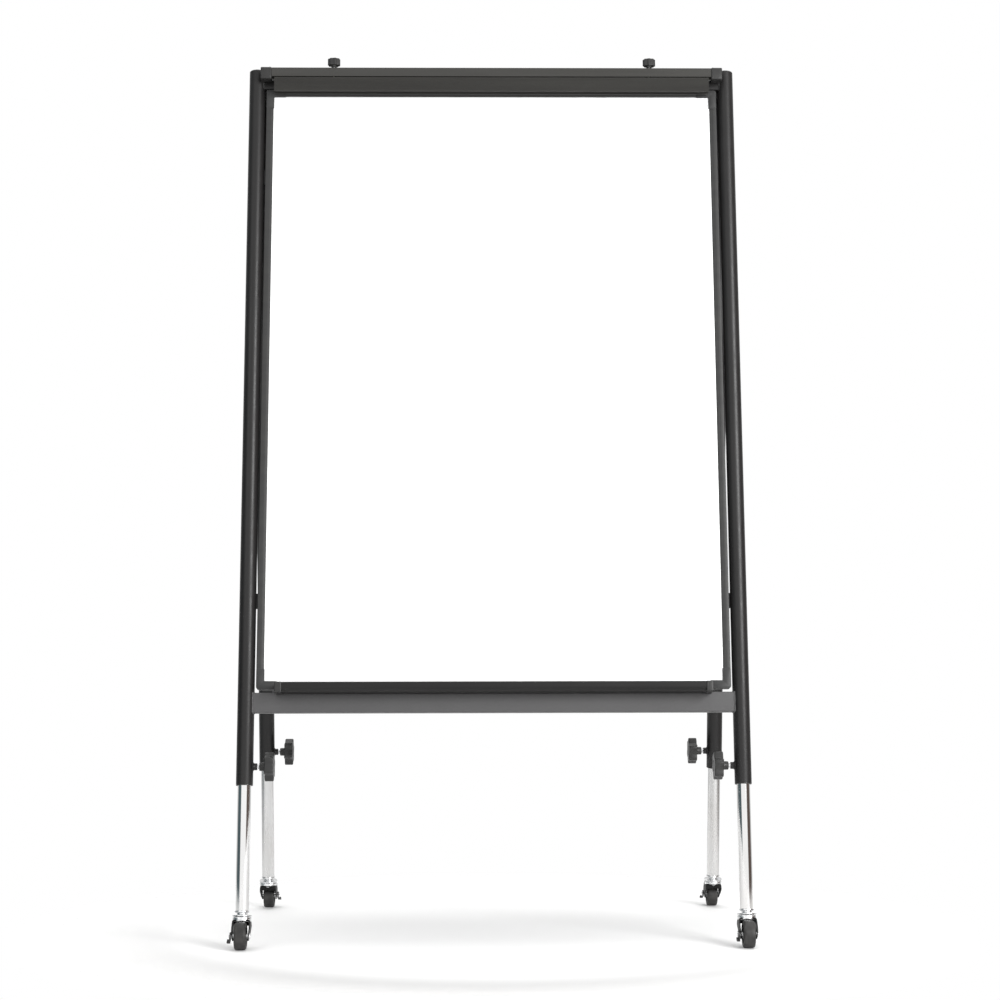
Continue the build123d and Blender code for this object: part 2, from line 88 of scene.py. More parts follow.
RAIL_HALF_LENGTH = 438.5
RAIL_BACK = -15.0
RAIL_CAP_WIDTH = 22.0
RAIL_CAP = (3.5, 28.0)
RAIL_CAP_FRONT = -37.0
RAIL_CAP_BACK = -16.3
CLAMP_HALF_LENGTH = 433.0
CLAMP = (24.4, 54.3)
CLAMP_FRONT = -36.0
CLAMP_LIP_BACK = -17.3
CLAMP_LIP = (48.4, 50.0)
PIVOT_Y = -28.0
PIVOT_DOWN = 25.8
CURL_RADIUS = 2.5
RIB_PITCH = 2.0
RIB_DEPTH = 0.55
TOP_SCREW_X = 314.6
TOP_SCREW_Y = -30.8
TOP_KNOB_BOTTOM = -1.0
TOP_KNOB_HEIGHT = 14.0
TOP_KNOB_RADIUS = 12.5
TOP_KNOB_LOBES = 8
TOP_KNOB_LOBE_DEPTH = 0.12
TOP_KNOB_FLATTENING = 0.72
TOP_SCREW_RADIUS = 2.5
TOP_SCREW_PITCH = 0.8
LEG_RADIUS = 12.5
LEG_WALL = 1.2
LEG_LENGTH = 500.0
LEG_END = 1659.5
SWIVEL_DROP = 10.15
SCREW_DOWN = 1392.5
SCREW_RADIUS = 4.0
SCREW_PITCH = 1.25
BOSS_RADIUS = 6.5
BOSS_LENGTH = 7.5
STUD_SHOWING = 4.0
HUB_LENGTH = 10.5
HUB_RADIUS = 8.5
KNOB_RADIUS = 27.5
KNOB_LENGTH = 17.0
KNOB_LOBES = 6
KNOB_LOBE_DEPTH = 0.21
WHEEL_RADIUS = 25.0
WHEEL_HALF_WIDTH = 11.0
TRAIL = 22.0
CROWN_RADIUS = 17.5
HOOD_TOP = 16.3
HOOD_HALF_WIDTH = 16.2
HOOD_WALL = 2.0
HOOD_SHOULDER = 4.0
EAR_RADIUS = 9.0
CHEEK_BULGE = 17.0
CHEEK_FOOT = 14.6
SKIRT_DROP = 27.0
AXLE_RADIUS = 4.0
LEVER_INNER = 17.4
LEVER_THICKNESS = 2.4
LEVER_TURN = 36.0
AXIS = 0.01  # turned profiles stop just short of the axis

# ---------------------------------------------------------------- places from the frame
leg_down = Vector(joints["leg_front_left_slide"]["axis"])
LEAN = atan2(-leg_down.y, -leg_down.z)
swivel = Vector(joints["castor_front_right_swivel"]["pos_m"])
wheel_axle = Vector(joints["wheel_front_right_spin"]["pos_m"])
TUBE_X = swivel.x / MM
AXLE_DROP = (wheel_axle - swivel).dot(leg_down) / MM + SWIVEL_DROP


def front_matrix():
    """Carries the flat layout, in mm, to the front frame's place, in metres."""
    centre = swivel - leg_down * (LEG_END + SWIVEL_DROP) * MM
    centre.x = 0
    return Matrix.Translation(centre) @ Matrix.Rotation(-LEAN, 4, "X") @ Matrix.Scale(MM, 4)


PLACES = {"front": front_matrix()}
PLACES["rear"] = Matrix.Rotation(pi, 4, "Z") @ PLACES["front"]


# ---------------------------------------------------------------- mesh helpers
def mesh_of(verts, faces):
    """A clean bmesh with outward normals."""
    bm = bmesh.new()
    made = [bm.verts.new(v) for v in verts]
    for face in faces:
        bm.faces.new([made[i] for i in face])
    bmesh.ops.recalc_face_normals(bm, faces=bm.faces)
    return bm


def joined(parts):
    """One bmesh that holds several."""
    whole = bmesh.new()
    for part in parts:
        data = bpy.data.meshes.new("part")
        part.to_mesh(data)
        whole.from_mesh(data)
        part.free()
        bpy.data.meshes.remove(data)
    return whole


def moved(bm, matrix):
    bmesh.ops.transform(bm, matrix=matrix, verts=bm.verts)
    if matrix.determinant() < 0:
        bmesh.ops.reverse_faces(bm, faces=bm.faces)
    return bm


def mirrored(bm):
    """The same shape on the other side of the centre plane."""
    return moved(bm.copy(), Matrix.Scale(-1, 4, (1, 0, 0)))


def both_sides(bm):
    """[left, right] from the right-hand shape."""
    return [mirrored(bm), bm]


def rounded(corners, steps=5):
    """A closed outline from corners (u, v, radius), each radius drawn as an arc."""
    outline = []
    for i, (u, v, radius) in enumerate(corners):
        here = Vector((u, v))
        if radius == 0:
            outline.append((u, v))
            continue
        back = (Vector(corners[i - 1][:2]) - here).normalized()
        ahead = (Vector(corners[(i + 1) % len(corners)][:2]) - here).normalized()
        half = back.angle(ahead) / 2
        centre = here + (back + ahead).normalized() * (radius / sin(half))
        start = here + back * (radius / tan(half)) - centre
        end = here + ahead * (radius / tan(half)) - centre
        first = atan2(start.y, start.x)
        turn = (atan2(end.y, end.x) - first + pi) % (2 * pi) - pi
        for k in range(steps + 1):
            a = first + turn * k / steps
            outline.append((centre.x + radius * cos(a), centre.y + radius * sin(a)))
    return outline


def extrude(outline, low, high, axis="x"):
    """A closed outline run along an axis. It is (y, z) for x, (x, z) for y and (x, y) for z."""
    spot = {"x": lambda u, v, t: (t, u, v), "y": lambda u, v, t: (u, t, v),
            "z": lambda u, v, t: (u, v, t)}[axis]
    n = len(outline)
    verts = [spot(u, v, t) for t in (low, high) for u, v in outline]
    faces = [(i, (i + 1) % n, n + (i + 1) % n, n + i) for i in range(n)]
    faces += [tuple(range(n)), tuple(range(2 * n - 1, n - 1, -1))]
    return mesh_of(verts, faces)


def loft(rings, closed_loop=False):
    """A skin through rings of equally many points, capped unless it closes on itself."""
    n = len(rings[0])
    verts = [p for ring in rings for p in ring]
    faces = []
    last = len(rings) if closed_loop else len(rings) - 1
    for r in range(last):
        a, b = r * n, (r + 1) % len(rings) * n
        faces += [(a + i, a + (i + 1) % n, b + (i + 1) % n, b + i) for i in range(n)]
    if not closed_loop:
        faces += [tuple(range(n)), tuple(range(len(verts) - 1, len(verts) - n - 1, -1))]
    return mesh_of(verts, faces)


def lathe(profile, steps=64, ring=False):
    """Turns (radius, height) points about Z; ring=True closes the profile on itself."""
    angles = [2 * pi * i / steps for i in range(steps)]
    rings = [[(r * cos(a), r * sin(a), h) for a in angles] for r, h in profile]
    return loft(rings, closed_loop=ring)


def on_x(bm, x=0.0, y=0.0, z=0.0):
    """Lays a shape turned about Z along X, at a place."""
    return moved(bm, Matrix.Translation((x, y, z)) @ Matrix.Rotation(pi / 2, 4, "Y"))


def shifted(bm, x=0.0, y=0.0, z=0.0):
    return moved(bm, Matrix.Translation((x, y, z)))


def brick(x, y, down, radius=1.0, segments=3):
    """A box from two X, two Y and two depths, with its edges rounded."""
    bm = extrude([(y[0], -down[1]), (y[1], -down[1]), (y[1], -down[0]), (y[0], -down[0])], *x)
    bmesh.ops.bevel(bm, geom=bm.edges, offset=radius, segments=segments, profile=0.5,
                    affect="EDGES", clamp_overlap=True)
    return bm


def quarter(centre, radius, start, end, steps=5):
    """Profile points on an arc, angles in degrees."""
    return [(centre[0] + radius * cos(radians(start + (end - start) * k / steps)),
             centre[1] + radius * sin(radians(start + (end - start) * k / steps)))
            for k in range(steps + 1)]


def finish_piece(name, bm, place, body, material, replaces=(), crease=38):
    """Writes a piece's mesh in the row frame and ties it to its body."""
    moved(bm, place)
    data = bpy.data.meshes.new(name)
    bm.to_mesh(data)
    bm.free()
    data.polygons.foreach_set("use_smooth", [True] * len(data.polygons))
    data.set_sharp_from_angle(angle=radians(crease))
    for m in material if isinstance(material, (list, tuple)) else [material]:
        data.materials.append(m)
    piece = bpy.data.objects.new(name, data)
    bpy.context.scene.collection.objects.link(piece)
    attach(piece, body)
    if replaces:
        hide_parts(*replaces)


def soften(piece, width):
    """Rounds a piece's hard edges with a bevel modifier; the width is in mm."""
    bevel = piece.modifiers.new("edges", "BEVEL")
    bevel.width = width * MM
    bevel.segments = 2
    bevel.limit_method = "ANGLE"
    bevel.angle_limit = radians(40)
    bevel.use_clamp_overlap = True
    bevel.harden_normals = True


# ---------------------------------------------------------------- materials
class Surface:
    """A Principled material with procedural colour, roughness and bump in object space."""

    def __init__(self, name, colour, roughness, metallic=0.0, **sockets):
        self.material = bpy.data.materials.new(name)
        self.material.use_nodes = True
        self.tree = self.material.node_tree
        self.shader = self.tree.nodes["Principled BSDF"]
        self.shader.inputs["Base Color"].default_value = (*colour, 1)
        self.shader.inputs["Roughness"].default_value = roughness
        self.shader.inputs["Metallic"].default_value = metallic
        for socket, value in sockets.items():
            self.shader.inputs[socket.replace("_", " ")].default_value = value
        self.colour = colour
        self.height = None

    def node(self, kind, **values):
        made = self.tree.nodes.new(kind)
        for name, value in values.items():
            if name in made.inputs:
                made.inputs[name].default_value = value
            else:
                setattr(made, name, value)
        return made

    def link(self, source, target):
        self.tree.links.new(source, target)

    def noise(self, scale, stretch=(1, 1, 1), detail=3.0):
        """Noise over the piece; scale is in features per metre."""
        place = self.node("ShaderNodeTexCoord").outputs["Object"]
        mapping = self.node("ShaderNodeMapping", Scale=stretch)
        self.link(place, mapping.inputs["Vector"])
        noise = self.node("ShaderNodeTexNoise", Scale=scale, Detail=detail, Roughness=0.55)
        self.link(mapping.outputs["Vector"], noise.inputs["Vector"])
        return noise.outputs["Fac"]

    def spread(self, factor, low, high, start=0.3, end=0.7):
        """Maps a factor's middle range onto two values."""
        span = self.node("ShaderNodeMapRange")
        span.inputs["From Min"].default_value = start
        span.inputs["From Max"].default_value = end
        span.inputs["To Min"].default_value = low
        span.inputs["To Max"].default_value = high
        self.link(factor, span.inputs["Value"])
        return span.outputs["Result"]

    def tint(self, factor, second, start=0.3, end=0.7):
        """Mixes the base colour towards a second one where the factor is high."""
        socket = self.shader.inputs["Base Color"]
        mix = self.node("ShaderNodeMix", data_type="RGBA")
        if socket.is_linked:
            self.link(socket.links[0].from_socket, mix.inputs[6])
        else:
            mix.inputs[6].default_value = (*self.colour, 1)
        mix.inputs[7].default_value = (*second, 1)
        self.link(self.spread(factor, 0, 1, start, end), mix.inputs[0])
        self.link(mix.outputs[2], socket)
        return self

    def vary_roughness(self, factor, low, high):
        self.link(self.spread(factor, low, high), self.shader.inputs["Roughness"])
        return self

    def bump(self, factor, distance, strength=1.0):
        """Adds relief; the distance is in mm."""
        bump = self.node("ShaderNodeBump", Strength=strength, Distance=distance * MM)
        self.link(factor, bump.inputs["Height"])
        if self.height is not None:
            self.link(self.height, bump.inputs["Normal"])
        self.height = bump.outputs["Normal"]
        self.link(self.height, self.shader.inputs["Normal"])
        return self


def powder_coat(name, colour, lighter, roughness, shine):
    s = Surface(name, colour, roughness, Specular_IOR_Level=shine)
    s.tint(s.noise(9, detail=4), lighter)
    s.tint(s.noise(900, detail=2), tuple(1.35 * c for c in colour), 0.45, 0.75)
    s.vary_roughness(s.noise(40, detail=4), roughness - 0.05, roughness + 0.07)
    s.bump(s.noise(700, detail=2), 0.06, 0.6)
    s.bump(s.noise(160, detail=1), 0.05, 0.5)
    return s.material


def moulded_plastic(name, colour, roughness, shine=0.35):
    s = Surface(name, colour, roughness, Specular_IOR_Level=shine)
    s.tint(s.noise(30, detail=4), tuple(1.5 * c for c in colour))
    s.vary_roughness(s.noise(120, detail=3), roughness - 0.06, roughness + 0.08)
    s.bump(s.noise(2600, detail=2), 0.05, 0.7)
    return s.material


def drawn_aluminium(name, colour, lighter, roughness, metallic):
    """Anodised extrusion with fine die lines along X."""
    s = Surface(name, colour, roughness, metallic, Specular_IOR_Level=0.25)
    s.tint(s.noise(60, (0.05, 1, 1), 5), lighter)
    s.vary_roughness(s.noise(420, (0.02, 1, 1), 3), roughness - 0.07, roughness + 0.08)
    s.bump(s.noise(1500, (0.012, 1, 1), 2), 0.03, 0.6)
    return s.material


def chrome_plate():
    s = Surface("chrome_plate", (0.80, 0.80, 0.80), 0.07, 1.0)
    s.tint(s.noise(12, (1, 1, 0.3), 4), (0.72, 0.71, 0.70))
    s.vary_roughness(s.noise(70, (1, 1, 0.15), 5), 0.05, 0.13)
    s.bump(s.noise(35, (1, 1, 0.25), 2), 0.06, 0.25)
    return s.material


def satin_plate():
    s = Surface("satin_plate", (0.70, 0.70, 0.70), 0.3, 1.0)
    s.tint(s.noise(20, (1, 1, 0.3), 4), (0.62, 0.61, 0.60))
    s.vary_roughness(s.noise(150, (1, 1, 0.1), 4), 0.24, 0.38)
    s.bump(s.noise(900, (1, 1, 0.05), 2), 0.03, 0.4)
    return s.material


def zinc_plate():
    s = Surface("zinc_plate", (0.80, 0.80, 0.80), 0.26, 1.0)
    s.tint(s.noise(60, detail=3), (0.72, 0.73, 0.74))
    s.vary_roughness(s.noise(300, detail=3), 0.2, 0.32)
    s.bump(s.noise(800, detail=2), 0.012, 0.4)
    return s.material


def writing_enamel():
    """Glossy white lacquer with the faint waviness of a laminated sheet."""
    s = Surface("writing_enamel", (0.92, 0.92, 0.92), 0.16, Coat_Weight=0.4, Coat_Roughness=0.06)
    s.tint(s.noise(1.6, detail=3), (0.88, 0.885, 0.89))
    s.vary_roughness(s.noise(3, (1, 1, 0.4), 3), 0.13, 0.2)
    s.bump(s.noise(14, detail=1), 0.08, 0.25)
    return s.material


def backing_sheet():
    s = Surface("backing_sheet", (0.55, 0.56, 0.57), 0.42, 0.7)
    s.tint(s.noise(35, detail=5), (0.46, 0.47, 0.49))
    s.vary_roughness(s.noise(60, detail=3), 0.35, 0.5)
    s.bump(s.noise(300, detail=2), 0.05, 0.4)
    return s.material


def wheel_tread():
    s = Surface("wheel_tread", (0.018, 0.0175, 0.017), 0.5, Specular_IOR_Level=0.3)
    s.tint(s.noise(70, detail=5), (0.045, 0.043, 0.041), 0.4, 0.8)
    s.tint(s.noise(520, detail=3), (0.08, 0.077, 0.072), 0.66, 0.9)
    s.vary_roughness(s.noise(160, detail=4), 0.4, 0.6)
    s.bump(s.noise(1300, detail=3), 0.08, 0.7)
    return s.material


def nylon():
    s = Surface("nylon", (0.72, 0.70, 0.64), 0.45, Subsurface_Weight=0.1)
    s.tint(s.noise(200), (0.62, 0.60, 0.54))
    s.bump(s.noise(1500), 0.04, 0.5)
    return s.material


def floor_surface():
    """A pale floor that fades into the backdrop away from the object."""
    s = Surface("floor_surface", (0.90, 0.90, 0.895), 0.6)
    s.tint(s.noise(0.8, detail=4), (0.88, 0.88, 0.878))
    s.bump(s.noise(60, detail=3), 0.1, 0.1)
    reach = s.node("ShaderNodeVectorMath", operation="LENGTH")
    s.link(s.node("ShaderNodeTexCoord").outputs["Object"], reach.inputs[0])
    fade = s.node("ShaderNodeMixShader")
    s.link(s.spread(reach.outputs["Value"], 0, 1, 0.62, 0.95), fade.inputs["Fac"])
    s.link(s.shader.outputs["BSDF"], fade.inputs[1])
    s.link(s.node("ShaderNodeBsdfTransparent").outputs["BSDF"], fade.inputs[2])
    s.link(fade.outputs["Shader"], s.tree.nodes["Material Output"].inputs["Surface"])
    return s.material


PAINT = powder_coat("charcoal_paint", (0.011, 0.0105, 0.0105), (0.014, 0.0135, 0.0135), 0.36, 0.3)
# The frame's charcoal powder coat made lighter for the lower crossbar: a painted highlight standing in for
# the light its front face catches.
BAR_PAINT_WITH_PAINTED_HIGHLIGHT = powder_coat("crossbar_paint_painted_highlight", (0.066, 0.065, 0.066), (0.074, 0.073, 0.074), 0.42, 0.25)
PROFILE = drawn_aluminium("profile_anodised", (0.036, 0.036, 0.036), (0.043, 0.043, 0.042), 0.42, 0.3)
RAIL_FINISH = drawn_aluminium("rail_anodised", (0.042, 0.041, 0.038), (0.051, 0.050, 0.047), 0.4, 0.4)
CLAMP_FINISH = drawn_aluminium("clamp_anodised", (0.031, 0.030, 0.028), (0.039, 0.038, 0.035), 0.42, 0.4)
TRAY_FINISH = drawn_aluminium("tray_anodised", (0.011, 0.0108, 0.0105), (0.015, 0.0148, 0.0145), 0.36, 0.2)
PLASTIC = moulded_plastic("black_plastic", (0.018, 0.0178, 0.0175), 0.34)
CORNER_PLASTIC = moulded_plastic("corner_plastic", (0.022, 0.022, 0.022), 0.46)
HOOD_FINISH = moulded_plastic("hood_black", (0.006, 0.006, 0.006), 0.45, 0.12)
CHROME = chrome_plate()
SATIN = satin_plate()
ZINC = zinc_plate()
ENAMEL = writing_enamel()
BACKING = backing_sheet()
TREAD = wheel_tread()
NYLON = nylon()


# ---------------------------------------------------------------- frame pieces
def tube():
    """A main tube with rolled-in ends, open inside."""
    inner = TUBE_RADIUS - TUBE_WALL
    top, bottom = -CAP_THICKNESS, -TUBE_END
    profile = quarter((inner + 0.75, bottom + 0.75), 0.75, 180, 360)
    profile = [(inner, top), (TUBE_RADIUS, top)] + profile[::-1]
    return shifted(lathe(profile, 96, ring=True), TUBE_X)


def boss():
    """The welded nut that the leg screw runs in, with a fillet weld round its foot."""
    face = TUBE_X - TUBE_RADIUS - BOSS_LENGTH
    bore = SCREW_RADIUS + 0.1
    profile = [(bore, -1), (bore, BOSS_LENGTH - 0.6), (bore + 0.6, BOSS_LENGTH),
               *quarter((BOSS_RADIUS - 1, BOSS_LENGTH - 1), 1, 90, 0),
               (BOSS_RADIUS, 2.2), (BOSS_RADIUS + 0.8, 0.8), (BOSS_RADIUS + 2.2, 0.0),
               (BOSS_RADIUS + 2.2, -1)]
    nut = moved(lathe(profile, 48, ring=True), Matrix.Rotation(pi, 4, "Y"))
    return on_x(nut, face + BOSS_LENGTH, 0, -SCREW_DOWN)


def board_tabs():
    """The tabs that hold the board off the tube."""
    run = (BOARD_HALF_WIDTH, BOARD_HALF_WIDTH + TAB_REACH)
    return [brick(run, (0, TAB_THICKNESS), (top, top + TAB_HEIGHT), 0.8) for top in TAB_TOPS]


def cope_x(y):
    """The X at which a crossbar meets the round tube."""
    return TUBE_X - sqrt(TUBE_RADIUS ** 2 - y ** 2)


def bar_outline(span, depth):
    low, high = -span[1], -span[0]
    return rounded([(depth[0], low, 2), (depth[1], low, 2), (depth[1], high, 2), (depth[0], high, 2)])


def weld_bead(span, depth, steps=160):
    """A rippled bead round a crossbar's end, where it meets the round tube."""
    path = bar_outline(span, depth)
    lengths = [0.0]
    for a, b in zip(path, path[1:] + path[:1]):
        lengths.append(lengths[-1] + (Vector(a) - Vector(b)).length)
    total = lengths[-1]
    circle = [(cos(2 * pi * m / 8), sin(2 * pi * m / 8)) for m in range(8)]
    rings = []
    for k in range(steps):
        goal = total * k / steps
        i = max(j for j in range(len(path)) if lengths[j] <= goal)
        a, b = Vector(path[i]), Vector(path[(i + 1) % len(path)])
        spot = a.lerp(b, (goal - lengths[i]) / max(lengths[i + 1] - lengths[i], 1e-6))
        ahead = (b - a).normalized()
        out = Vector((ahead.y, -ahead.x))
        radius = 1.5 + 0.25 * cos(2 * pi * goal / 2.6) + 0.2 * sin(2 * pi * goal / 17)
        centre = Vector((cope_x(spot.x), spot.x, spot.y))
        sideways = Vector((0, out.x, out.y))
        rings.append([centre + radius * (u * Vector((1, 0, 0)) + v * sideways) for u, v in circle])
    return loft(rings, closed_loop=True)


def crossbar(span, depth):
    """A flat tube with rounded edges, its ends coped to the round tubes."""
    outline = bar_outline(span, depth)
    lip = 0.8
    rings = []
    for side in (-1, 1):
        for back in ((lip, 0.0) if side > 0 else (0.0, lip)):
            rings.append([(side * (cope_x(y) - back), y, z) for y, z in outline])
    return loft(rings)


def tube_cap():
    """A pressed-in cap: chamfered rim, slightly domed top, small gate mark."""
    r = TUBE_RADIUS
    rim = [(r - 1.6, -CAP_THICKNESS - 11), (r - 1.6, -CAP_THICKNESS), (r - 0.2, -CAP_THICKNESS), (r, -2.8)]
    top = [(r, -1.5), (r - 0.3, -1.0), (r - 1.2, -0.35), (r - 2.2, -0.15), (9, -0.02), (4, 0),
           (2.6, 0), (2.3, -0.3), (AXIS, -0.35)]
    return shifted(lathe(rim + top, 64), TUBE_X)


def leg_bush():
    """The plastic bush whose lip shows under the tube's mouth."""
    bore = LEG_RADIUS + 0.1
    outside = TUBE_RADIUS - TUBE_WALL - 0.05
    bottom = -TUBE_END - BUSH_LIP
    profile = [(bore, -TUBE_END + 40), (outside, -TUBE_END + 40), (outside, -TUBE_END - 0.05),
               (TUBE_RADIUS - 0.2, -TUBE_END - 0.05),
               *quarter((TUBE_RADIUS - 0.9, bottom + 0.9), 0.9, 0, -90),
               (bore + 0.8, bottom), (bore, bottom + 0.8)]
    return shifted(lathe(profile, 72, ring=True), TUBE_X)


def panel():
    """The laminated panel: enamelled face, steel-backed rear; face materials 0 and 1."""
    reach = PROFILE_WIDTH - GROOVE_DEPTH
    half = BOARD_HALF_WIDTH - reach
    bm = extrude([(PANEL_FRONT, -BOARD_BOTTOM + reach), (PANEL_BACK, -BOARD_BOTTOM + reach),
                  (PANEL_BACK, -BOARD_TOP - reach), (PANEL_FRONT, -BOARD_TOP - reach)], -half, half)
    for face in bm.faces:
        face.material_index = 0 if face.normal.y < -0.5 else 1
    return bm


def profile_section():
    """The frame profile: (inwards, towards the front), with a groove that grips the panel."""
    d, w = PROFILE_HALF_DEPTH, PROFILE_WIDTH
    front, back = -PANEL_FRONT, -PANEL_BACK
    deep = w - GROOVE_DEPTH
    return rounded([(0, -d, 1.2), (0, d, 1.4), (8.1, d, 0.25), (8.5, d - 0.7, 0.2),
                    (9.0, d - 0.6, 0.2), (w - 0.6, front + 0.75, 0.3), (w, front, 0),
                    (deep, front, 0), (deep, back, 0), (w, back, 0), (w, -d, 0.8)], 3)


def stile():
    run = (-BOARD_BOTTOM + CORNER_ARM, -BOARD_TOP - CORNER_ARM)
    return extrude([(BOARD_HALF_WIDTH - u, -v) for u, v in profile_section()], *run, "z")


def head_and_foot():
    run = (CORNER_ARM - BOARD_HALF_WIDTH, BOARD_HALF_WIDTH - CORNER_ARM)
    section = profile_section()
    head = extrude([(-v, -BOARD_TOP - u) for u, v in section], *run)
    foot = extrude([(-v, -BOARD_BOTTOM + u) for u, v in section], *run)
    return [head, foot]


def bevel_hard_edges(bm, offset, segments):
    edges = [e for e in bm.edges if e.is_manifold and e.calc_face_angle() > 1.2]
    bmesh.ops.bevel(bm, geom=edges, offset=offset, segments=segments, profile=0.5,
                    affect="EDGES", clamp_overlap=True)


def corner_piece(top):
    """The right-hand L-shaped moulding: rounded outside, stepped inner edge, raised pad."""
    edge, way = (-BOARD_TOP, -1) if top else (-BOARD_BOTTOM, 1)
    x = BOARD_HALF_WIDTH
    d = CORNER_HALF_DEPTH

    def shape(inset, outer, width, y):
        a, w = CORNER_ARM - inset, width
        corners = [(x - inset, edge + way * inset, outer), (x - inset, edge + way * a, 1.2),
                   (x - w, edge + way * a, 1.2), (x - w, edge + way * w, 1.5),
                   (x - a, edge + way * w, 1.2), (x - a, edge + way * inset, 1.2)]
        return extrude(rounded(corners), *y, "y")

    body = shape(0, 5, CORNER_WIDTH, (-d, d))
    bevel_hard_edges(body, 0.9, 3)
    pad = shape(2.6, 2.6, 12.4, (-d - 0.35, -d + 0.5))
    bevel_hard_edges(pad, 0.3, 2)
    return joined([body, pad])


def pen_tray():
    """The tray's section: tall back, flat floor with a bead, rolled front lip."""
    front, back, floor = TRAY_FRONT, TRAY_BACK, -TRAY_BOTTOM
    lip, rise = -TRAY_LIP_TOP, -TRAY_BACK_TOP
    section = [(front, floor, 10.0), (back, floor, 0.6), (back, rise, 0.7), (back - 2, rise, 0.7),
               (back - 2, floor + 2, 2.0), (front + 14, floor + 2, 0.8), (front + 13, floor + 3, 0.6),
               (front + 12, floor + 2, 0.4), (front + 2, floor + 2, 8.0), (front + 2, lip - 2.4, 0.5),
               (front + 3.2, lip - 1.8, 0.6), (front + 3.2, lip, 0.8), (front, lip, 1.2)]
    half = TRAY_HALF_LENGTH - TRAY_CAP_LENGTH
    return extrude(rounded(section), -half, half)


def tray_cap():
    """A closed end block with rounded edges and a raised line round its inner end."""
    x = (TRAY_HALF_LENGTH - TRAY_CAP_LENGTH, TRAY_HALF_LENGTH)
    body = brick(x, (TRAY_FRONT - 1, TRAY_BACK), (TRAY_LIP_TOP - 1, TRAY_BOTTOM + 1), 2.0, 4)
    line = brick((x[0] + 2.2, x[0] + 3.0), (TRAY_FRONT - 1.3, TRAY_BACK - 2),
                 (TRAY_LIP_TOP - 1.3, TRAY_BOTTOM - 1), 0.25, 2)
    return joined([body, line])


def rail_cap():
    """The end block: a softened cube with a raised line round its inner end."""
    x = RAIL_HALF_LENGTH
    body = brick((x, x + RAIL_CAP_WIDTH), (RAIL_CAP_FRONT, RAIL_CAP_BACK), RAIL_CAP, 2.2, 4)
    seam = brick((x + 3.0, x + 3.7), (RAIL_CAP_FRONT - 0.3, RAIL_CAP_BACK - 1),
                 (RAIL_CAP[0] - 0.3, RAIL_CAP[1] - 1), 0.25, 2)
    return joined([body, seam])


def clamp_plate():
    """The folded plate, its face drawn with fine ribs, and the curl its pivot rod runs in."""
    top, bottom = -CLAMP[0], -CLAMP[1]
    front, sheet = CLAMP_FRONT, 1.6
    inside = front + 1.7
    face = []
    ribs = int((CLAMP[1] - CLAMP[0] - 3.0) / RIB_PITCH)
    start = bottom + 2.0
    for k in range(ribs):
        z = start + k * RIB_PITCH
        face += [(front + RIB_DEPTH, z), (front, z + 0.35 * RIB_PITCH), (front, z + 0.65 * RIB_PITCH)]
    face.append((front + RIB_DEPTH, start + ribs * RIB_PITCH))
    folded = [(CLAMP_LIP_BACK, -CLAMP_LIP[0]), (CLAMP_LIP_BACK, -CLAMP_LIP[1]),
              (inside, -CLAMP_LIP[1]), (inside, bottom + 0.4), (front + 1.3, bottom),
              (front + 0.7, bottom), (front, bottom + 1.0)]
    flange = [(front, top - 0.9), (front + 0.9, top), (PIVOT_Y, top), (PIVOT_Y, top - sheet),
              (inside, top - sheet), (inside, -CLAMP_LIP[0])]
    plate = extrude(folded + face + flange, -CLAMP_HALF_LENGTH, CLAMP_HALF_LENGTH)
    curl = [(1.5, -CLAMP_HALF_LENGTH), (CURL_RADIUS, -CLAMP_HALF_LENGTH),
            (CURL_RADIUS, CLAMP_HALF_LENGTH), (1.5, CLAMP_HALF_LENGTH)]
    return joined([plate, on_x(lathe(curl, 32, ring=True), 0, PIVOT_Y, -PIVOT_DOWN)])


def pivot_rod():
    end = RAIL_HALF_LENGTH + 5.5
    rod = lathe([(AXIS, -end), (1.1, -end), (1.4, -end + 0.3), (1.4, end - 0.3), (1.1, end), (AXIS, end)], 24)
    return on_x(rod, 0, PIVOT_Y, -PIVOT_DOWN)


# ---------------------------------------------------------------- knobs and screws
def lobed_ring(radius, depth, lobes, inset, height, steps, phase):
    """One ring of a lobed head: the outline's radius swings by depth between its lobes."""
    ring = []
    for i in range(steps):
        a = 2 * pi * i / steps
        r = radius - depth * (0.5 - 0.5 * cos(lobes * (a - phase))) ** 0.85 - inset
        ring.append((r * cos(a), r * sin(a), height))
    return ring


def lobed_head(radius, lobes, depth, height, edge, dish, dish_radius, steps, phase):
    """A hand-knob head standing on z = 0, with rounded edges and a dished top."""
    rings = []
    for r, h in quarter((0, edge), edge, -90, 0):
        rings.append(lobed_ring(radius, depth, lobes, edge - r, h, steps, phase))
    for r, h in quarter((0, height - edge), edge, 0, 90):
        rings.append(lobed_ring(radius, depth, lobes, edge - r, h, steps, phase))
    rim = radius - depth - edge - 1.0
    top = [(rim, height), (dish_radius, height), (dish_radius - 0.8, height - dish),
           (AXIS, height - dish)]
    for r, h in top:
        rings.append([(r * cos(2 * pi * i / steps), r * sin(2 * pi * i / steps), h) for i in range(steps)])
    return loft(rings)


def thread(radius, low, high, pitch, steps=32):
    """A stud with turned ridges for its thread."""
    profile = [(AXIS, low), (radius - 0.5, low)]
    turns = int((high - low) / pitch)
    for k in range(turns):
        z = low + k * pitch
        profile += [(radius - 0.45, z + 0.12 * pitch), (radius, z + 0.45 * pitch),
                    (radius, z + 0.6 * pitch), (radius - 0.45, z + 0.93 * pitch)]
    return lathe(profile + [(radius - 0.5, high), (AXIS, high)], steps)


